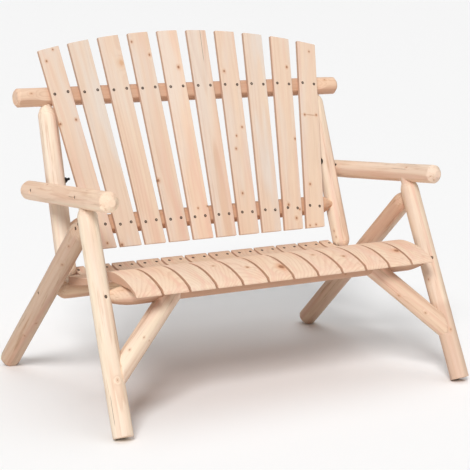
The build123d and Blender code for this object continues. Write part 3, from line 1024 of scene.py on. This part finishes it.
# knots and tones of each back slat, counted from the left
backLooks = {
    1: {"pink": 0.75, "knots": [onBoard(12, 593, 3), onBoard(-17, 563, 3.5), onBoard(21, 382, 4),
                                onBoard(-30, 378, 4), onBoard(7, 18, 3.5)]},
    2: {"tint": colour(0.93, 0.95, 0.97), "pink": 0.15, "grey": 0.9, "cream": 0.0,
        "knots": [onBoard(-29, 12, 5)]},
    3: {"knots": [onBoard(22, 542, 9, 1.3, depth=0.6, halo=colour(0.74, 0.43, 0.22),
                          core=colour(0.64, 0.33, 0.16))]},
    4: {"pink": 0.7, "knots": [onBoard(-26, 606, 3.5), onBoard(24, 563, 4),
                               onBoard(-31, 186, 5)]},
    5: {"tint": colour(1.0, 0.98, 0.97), "knots": [onBoard(17, 522, 5), onBoard(-2, 92, 3),
                                                   onBoard(30, 95, 3)]},
    6: {"contrast": 0.6, "cracks": [crackOnBoard(12, 590, 0.9, 120, slant=0.02)]},
    7: {"pink": 0.75, "knots": [onBoard(-19, 506, 4), onBoard(19, 331, 3.5), onBoard(-4, 304, 3),
                                onBoard(-11, 264, 3.5), onBoard(-8, 126, 4)]},
    8: {"tint": colour(0.93, 0.94, 0.96), "pink": 0.25, "grey": 0.9, "cream": 0.2},
    9: {"pink": 0.8, "knots": [onBoard(18, 520, 4), onBoard(28, 290, 4), onBoard(-14, 80, 4.5),
                               onBoard(25, 67, 3.5), onBoard(11, 39, 4)]},
    10: {"knots": [onBoard(2, 363, 24, 0.08, push=0.0, depth=0.5),
                   onBoard(-19, 362, 3.5), onBoard(23, 365, 3.5), onBoard(-13, 140, 4),
                   onBoard(9, 571, 3), onBoard(-21, 9, 3), onBoard(1, 13, 3)]},
}

backNames = sorted(name for name in nodes if name.startswith("back_slat"))
for number, name in enumerate(backNames, start=1):
    piece = buildBackSlat(name, number)
    start = -readBoard(name)["half"][2]
    look = backLooks.get(number, {})
    finishBoard(piece, name, "back_slat", backSlat["seed"] + number, start, -1, look)
print("back slats done")


# knots and tones of each seat slat, counted from the left; along is from the nose
seatLooks = {
    2: {"pink": 0.9, "tint": colour(1.0, 0.95, 0.91)},
    3: {"pink": 0.8, "tint": colour(0.98, 0.97, 0.96)},
    4: {"knots": [onBoard(1, 95, 5.5, 0.8, depth=0.8)], "pink": 0.75},
    5: {"knots": [onBoard(9, 63, 6, 0.9)]},
    6: {"knots": [onBoard(26, 45, 12, 1.0, halo=colour(0.66, 0.31, 0.16))], "pink": 0.9,
        "tint": colour(1.0, 0.95, 0.9)},
    7: {"tint": colour(1.0, 0.97, 0.93)},
    8: {"knots": [onBoard(1, 94, 6, 0.8, depth=0.8)]},
    9: {"knots": [onBoard(5, 63, 6.5, 0.9, depth=0.8)], "pink": 0.85},
    11: {"knots": [onBoard(28, 60, 11, 0.9, halo=colour(0.66, 0.33, 0.18))],
         "tint": colour(1.0, 0.96, 0.92)},
}

# under darkens the seat boards' undersides: painted shade
seatWood = {
    "contrast": 0.5, "ringGap": 0.0075, "resin": 0.5, "wobble": 0.04, "grey": 0.2, "bast": 0.3,
    "under": 0.9, "tint": colour(1.0, 0.965, 0.94),
}
# how far to either side of a seat board and above it the tree's heart lies, and its rosy share
seatHeart = {"aside": (0.03, 0.09), "above": (0.2, 0.4), "pink": (0.5, 0.95), "seed": 500}

seatNames = sorted(name for name in nodes if name.startswith("seat_slat"))
for number, name in enumerate(seatNames, start=1):
    piece = buildSeatSlat(name, number, len(seatNames))
    if number in (1, len(seatNames)):
        notchForPost(piece, name)
    rng = random.Random(seatHeart["seed"] + number)
    picked = {"heartX": rng.choice((-1, 1)) * rng.uniform(*seatHeart["aside"]),
              "heartY": rng.uniform(*seatHeart["above"]), "pink": rng.uniform(*seatHeart["pink"])}
    look = {**seatWood, **picked, **seatLooks.get(number, {})}
    finishBoard(piece, name, "seat_slat", seatSlat["seed"] + number, -nodeNose(name), 1, look)
print("seat slats done")


def steelMaterial(name, look):
    mat, tree, shader, textures = newMaterial(name)
    blotches = noiseOf(tree, textures["Object"], look["blotch"], 3.0, 0.6)
    tone = mixColour(tree, remap(tree, blotches, 0.35, 0.7), look["dark"], look["light"])
    tree.links.new(tone, shader.inputs["Base Color"])
    rough = remap(tree, blotches, 0.3, 0.7, look["rough"], look["rough"] + 0.2)
    tree.links.new(rough, shader.inputs["Roughness"])
    shader.inputs["Metallic"].default_value = look["metal"]
    return mat


boltSteel = {
    "dark": colour(0.012, 0.011, 0.011), "light": colour(0.045, 0.04, 0.038),
    "rough": 0.32, "metal": 0.75, "blotch": 260.0,
}
screwSteel = {
    "dark": colour(0.03, 0.018, 0.012), "light": colour(0.10, 0.06, 0.04),
    "rough": 0.6, "metal": 0.2, "blotch": 420.0,
}

# sizes in mm; the bolt's own Z starts on the nut's seat and runs outwards
bolt = {
    "shank": 4.0, "root": 3.4, "pitch": 1.25, "around": 32,
    "tipRoot": 3.0, "tipShank": 3.7, "firstTurn": 0.3, "fullTurn": 0.8,    # the eased tip
    "head": 6.5, "headHeight": 4.5, "headEdge": 0.6, "socket": 3.0, "socketDepth": 2.6,
    "nut": 6.5, "nutHeight": 6.5, "nutHole": 4.05, "chamfer": 0.7, "nutEase": 0.2,
    "holeEase": 0.5,
    "washer": 9.2, "washerHeight": 1.5,
    "recess": 7.5, "nutSeat": 10.0, "cutReach": 40.0,
}
crisp = {"machined": 30, "thread": 38, "screw": 60}      # degrees; steeper edges stay sharp


def readBolt(side):
    # frame on the nut's seat, local Z outwards along the bolt, and the distance to its head
    points = nodePoints("armrest_bolts")
    points = points[points[:, 0] * side > 0]
    nut = nodePoints("armrest_bolt_nuts")
    nut = nut[nut[:, 0] * side > 0]
    middle = (nut.min(axis=0) + nut.max(axis=0)) / 2
    spread = points - points.mean(axis=0)
    way = np.linalg.svd(spread, full_matrices=False)[2][0]
    way = way * np.sign(way[0]) * side
    seat = ((nut - middle) @ way).max()
    matrix = localFrame(middle + way * seat, way, above)
    reach = toLocal(matrix, points)[:, 2]
    return {"matrix": matrix, "top": reach.max(), "tip": reach.min()}


def turned(rows, around, shape=None):
    # rings of a turned body from (radius, height) rows in mm
    angles = np.linspace(0, 2 * math.pi, around, endpoint=False)
    rings = []
    for radius, height in rows:
        skin = shape(angles, radius, height) if shape else np.full(around, radius)
        ring = np.column_stack((skin * np.cos(angles), skin * np.sin(angles),
                                np.full(around, height)))
        rings.append(ring * mm)
    return np.array(rings)


def threadSkin(angles, radius, height):
    if height > 0:
        return np.full(len(angles), radius)
    turn = (height / bolt["pitch"] - angles / (2 * math.pi)) % 1
    return bolt["root"] + (radius - bolt["root"]) * np.abs(1 - 2 * turn)


def buildRing(name, rings, matrix):
    # a closed skin over a ring of sections, such as a washer or a nut with its hole
    def closeRing(work):
        caps = [face for face in work.faces if len(face.verts) > 4]
        bmesh.ops.delete(work, geom=caps, context="FACES_ONLY")
        bmesh.ops.remove_doubles(work, verts=work.verts, dist=1e-7)
        bmesh.ops.recalc_face_normals(work, faces=work.faces)

    piece = buildLoft(name, np.concatenate((rings, rings[:1])), matrix)
    editMesh(piece, closeRing)
    sharpen(piece, crisp["machined"])
    return piece


def sharpen(piece, degrees):
    # edges steeper than this stay crisp
    def crease(work):
        for edge in work.edges:
            if len(edge.link_faces) == 2 and edge.calc_face_angle() > math.radians(degrees):
                edge.smooth = False
        for face in work.faces:
            face.smooth = True

    editMesh(piece, crease)


def prism(radius, low, high, matrix, sides=48):
    piece = buildLoft("cutter", turned([(radius, low), (radius, high)], sides), matrix)
    sharpen(piece, crisp["machined"])
    return piece


def buildBolt(place, name):
    step = bolt["pitch"] / 8
    tip, top = place["tip"] / mm, place["top"] / mm
    rows = [(bolt["tipRoot"], tip)]
    height = tip + bolt["firstTurn"]
    while height < -step:
        isFull = height > tip + bolt["fullTurn"]
        rows.append((bolt["shank" if isFull else "tipShank"], height))
        height += step
    under, edge = top - bolt["headHeight"], bolt["headEdge"]
    rows += [(bolt["shank"], step), (bolt["shank"], under), (bolt["head"], under)]
    rows += [(bolt["head"], top - edge), (bolt["head"] - edge * 0.3, top - edge * 0.3),
             (bolt["head"] - edge, top)]
    piece = buildLoft(name, turned(rows, bolt["around"], threadSkin), place["matrix"])
    sharpen(piece, crisp["thread"])
    takeAway(piece, prism(bolt["socket"], top - bolt["socketDepth"], top + 2, place["matrix"], 6))
    return piece


def buildNut(place, name):
    height, across, low = bolt["nutHeight"], bolt["nut"], bolt["washerHeight"]
    hole, cham, ease = bolt["nutHole"], bolt["chamfer"], bolt["holeEase"]

    def hexSkin(angles, radius, level):
        flat = across / np.cos((angles + math.pi / 6) % (math.pi / 3) - math.pi / 6)
        return np.minimum(flat, radius) if radius > hole + 1 else np.full(len(angles), radius)

    corner = across / math.cos(math.pi / 6)
    face = across - bolt["nutEase"]
    rows = [(face, -low), (corner, -low - cham), (corner, -height + cham), (face, -height),
            (hole + ease, -height), (hole, -height + ease), (hole, -low - ease),
            (hole + ease, -low)]
    return buildRing(name, turned(rows, 96, hexSkin), place["matrix"])


def buildWasher(place, name):
    wide, thick, soft = bolt["washer"], bolt["washerHeight"], 0.25
    rows = [(wide - soft, 0), (wide, -soft), (wide, -thick + soft), (wide - soft, -thick),
            (bolt["nutHole"], -thick), (bolt["nutHole"], 0)]
    return buildRing(name, turned(rows, 48), place["matrix"])


def joined(pieces, name):
    bpy.context.view_layer.update()
    target = pieces[0]
    back = target.matrix_world.inverted()

    def addOthers(work):
        for piece in pieces[1:]:
            other = piece.data.copy()
            other.transform(back @ piece.matrix_world)
            work.from_mesh(other)
            bpy.data.objects.remove(piece)

    editMesh(target, addOthers)
    target.name = name
    return target


screw = {
    # (radius, height) from the skirt in the wood to the top of the dome
    "profile": ((2.2, -2.0), (4.15, -0.2), (4.3, 0), (4.1, 0.35), (3.096, 0.6), (1.72, 0.75)),
    "slotLong": 2.5, "slotWide": 0.55, "slotDeep": 1.2, "proud": 0.25, "around": 24,
}


def buildScrewHead():
    rings = turned(screw["profile"], screw["around"])
    head = buildLoft("screw head", rings, Matrix.Identity(4))
    sharpen(head, crisp["screw"])
    top = screw["profile"][-1][1]
    low, high = top - screw["slotDeep"], top + 1
    long, wide = screw["slotLong"], screw["slotWide"]
    bars = [cutterBlock((-x * mm, -y * mm, low * mm), (x * mm, y * mm, high * mm))
            for x, y in ((long, wide), (wide, long))]
    takeAway(head, *bars)
    return head


def driveScrews(name, spots, material):
    # one piece of equal screws; each spot is a surface point and the way out of the wood
    head = buildScrewHead()
    rng = random.Random(name)
    work = bmesh.new()
    for point, normal in spots:
        sunk = Vector(point) + Vector(normal) * screw["proud"] * mm
        turn = Vector(normal).to_track_quat("Z", "Y").to_matrix().to_4x4()
        spin = Matrix.Rotation(rng.uniform(0, math.pi), 4, "Z")
        copy = head.data.copy()
        copy.transform(Matrix.Translation(sunk) @ turn @ spin)
        work.from_mesh(copy)
    mesh = bpy.data.meshes.new(name)
    work.to_mesh(mesh)
    work.free()
    bpy.data.objects.remove(head)
    finishPiece(addObject(name, mesh), material, "bolt_steel")


def surfaceAt(piece, place, outward, reach=0.06):
    # where a straight line into the wood first meets the piece
    bpy.context.view_layer.update()
    back = piece.matrix_world.inverted()
    start = back @ (Vector(place) + Vector(outward) * reach)
    hit, point, normal, _ = piece.ray_cast(start, back.to_3x3() @ -Vector(outward))
    if not hit:
        raise ValueError(f"{piece.name}: no wood at {tuple(place)}")
    return piece.matrix_world @ point, (piece.matrix_world.to_3x3() @ normal).normalized()


pieces = bpy.data.objects
boltMetal = steelMaterial("blackened steel", boltSteel)
screwMetal = steelMaterial("bronzed screws", screwSteel)

shanks, nuts, washers = [], [], []
for hand, side in (("left", -1), ("right", 1)):
    place = readBolt(side)
    seat = place["top"] / mm - bolt["headHeight"]
    takeAway(pieces[f"armrest_{hand}_log"],
             prism(bolt["recess"], seat, seat + bolt["cutReach"], place["matrix"]))
    takeAway(pieces[f"back_post_{hand}_log"],
             prism(bolt["nutSeat"], -bolt["cutReach"], 0, place["matrix"]))
    shanks.append(buildBolt(place, f"bolt {hand}"))
    nuts.append(buildNut(place, f"nut {hand}"))
    washers.append(buildWasher(place, f"washer {hand}"))
for pair, name, *replaced in ((shanks, "armrest_bolts_threaded", "armrest_bolts"),
                              (nuts, "armrest_bolt_hex_nuts", "armrest_bolt_nuts"),
                              (washers, "armrest_bolt_washers")):
    finishPiece(joined(pair, name), boltMetal, "bolt_steel", *replaced)
print("bolts done")

# screw rows of the back: height up the slats, half the gap between a pair, drop at the outer slats
backRows = {"upper": (463 * mm, 21 * mm, 6.5 * mm), "lower": (66.8 * mm, 17.5 * mm, 0.0)}
backUp = np.array((0, math.sin(backLean), math.cos(backLean)))
spots = []
for number, name in enumerate(backNames):
    board = readBoard(name)
    matrix = board["matrix"]
    way = np.array(matrix)[:3, 2]
    outer = abs(number - (len(backNames) - 1) / 2) / ((len(backNames) - 1) / 2)
    nearEnd = np.interp(0.0, board["low"][:, 0], board["low"][:, 1])
    for rise, apart, drop in backRows.values():
        along = nearEnd + (rise - drop * outer ** 2) / (way @ backUp)
        for across in (-apart, apart):
            place = matrix @ Vector((across, board["half"][1], along))
            spots.append(surfaceAt(pieces[f"{name}_board"], place, Vector(backFacing)))
driveScrews("back_slat_screws", spots, screwMetal)

seatScrews = {"behindNose": 460 * mm, "apart": 19 * mm, "endSlat": 429 * mm}
spots = []
for name in seatNames:
    low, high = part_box(name)
    centre = (low.x + high.x) / 2
    nose = nodeNose(name)
    isEnd = name in (seatNames[0], seatNames[-1])
    inner = math.copysign(seatScrews["endSlat"], centre)
    rows = (inner,) if isEnd else (centre - seatScrews["apart"], centre + seatScrews["apart"])
    for across in rows:
        place = (across, nose + seatScrews["behindNose"], high.z)
        spots.append(surfaceAt(pieces[f"{name}_board"], place, (0, 0, 1), 0.1))
driveScrews("seat_slat_screws", spots, screwMetal)

# screws that lock the tenons, on the right-hand side: the log, a place near its skin, the way out
lockScrews = [
    ("front_leg", (0.5277, -0.2661, 0.3469), (-0.171, -0.896, 0.41)),
    ("rear_leg", (0.552, -0.1327, 0.514), (1, 0, 0)),
    ("rear_leg", (0.552, -0.1266, 0.5024), (1, 0, 0)),
    ("armrest", (0.5566, -0.1314, 0.5866), (0.98, 0.045, 0.19)),
    ("rear_leg", (0.545, 0.1088, 0.283), (1, 0, 0)),
    ("back_post", (0.462, 0.150, 0.4510), (0, 0.94, 0.33)),
]
lockHole = {"radius": 5.2, "depth": 2.6, "reach": 8.0, "sides": 28}
spots = []
for side, hand in ((-1, "left"), (1, "right")):
    for log, place, outward in lockScrews:
        outward = Vector((outward[0] * side, outward[1], outward[2])).normalized()
        place = Vector((place[0] * side, place[1], place[2]))
        piece = pieces[f"{log}_{hand}_log"]
        point, _ = surfaceAt(piece, place, outward)
        way = np.array(outward)
        matrix = localFrame(np.array(point), way, above if abs(way[2]) < 0.9 else front)
        takeAway(piece, prism(lockHole["radius"], -lockHole["depth"], lockHole["reach"], matrix,
                              lockHole["sides"]))
        spots.append((point - outward * lockHole["depth"] * mm, outward))
driveScrews("lock_screws", spots, screwMetal)
print("screws done")


shot = {
    "place": (-2.0221, -3.4263, 1.1726),
    "right": (0.86097, -0.50856, 0.01000),
    "up": (0.08660, 0.16592, 0.98233),
    "ahead": (0.50123, 0.84489, -0.18690),
    "lens": 106.97,
    "sensor": 36.0,
}


def makeCamera():
    data = bpy.data.cameras.new("camera")
    data.lens = shot["lens"]
    data.sensor_width = shot["sensor"]
    camera = addObject("camera", data)
    turn = Matrix((shot["right"], shot["up"], [-c for c in shot["ahead"]])).transposed()
    camera.matrix_world = Matrix.Translation(shot["place"]) @ turn.to_4x4()
    bpy.context.scene.camera = camera


studio = {
    "sky": 0.2,
    "lamps": [   # where it shines from, softness in degrees, strength
        ((-1.7, -2.1, 2.2), 20, 2.45),
        ((0.6, 0.1, 3.0), 60, 1.0),
    ],
    "floor": 90.0,
    "white": 0.96,
    "rough": 0.9,
}


def makeStudio():
    world = bpy.data.worlds.new("studio")
    world.use_nodes = True
    world.node_tree.nodes["Background"].inputs[0].default_value = (1, 1, 1, 1)
    world.node_tree.nodes["Background"].inputs[1].default_value = studio["sky"]
    bpy.context.scene.world = world
    for number, (place, softness, strength) in enumerate(studio["lamps"]):
        data = bpy.data.lights.new(f"softbox {number}", "SUN")
        data.angle = math.radians(softness)
        data.energy = strength
        lamp = addObject(f"softbox {number}", data)
        lamp.location = place
        lamp.rotation_euler = (-Vector(place)).to_track_quat("-Z", "Y").to_euler()
    bpy.ops.mesh.primitive_plane_add(size=studio["floor"] * 2, location=(0, 0, 0))
    floor = bpy.context.object
    floor.name = "floor"
    mat = bpy.data.materials.new("pale floor")
    mat.use_nodes = True
    shader = mat.node_tree.nodes["Principled BSDF"]
    shader.inputs["Base Color"].default_value = colour(*[studio["white"]] * 3)
    shader.inputs["Roughness"].default_value = studio["rough"]
    floor.data.materials.append(mat)
    view = bpy.context.scene.view_settings
    view.view_transform = "Standard"
    view.look = "None"


makeCamera()
makeStudio()
print("camera and studio done")
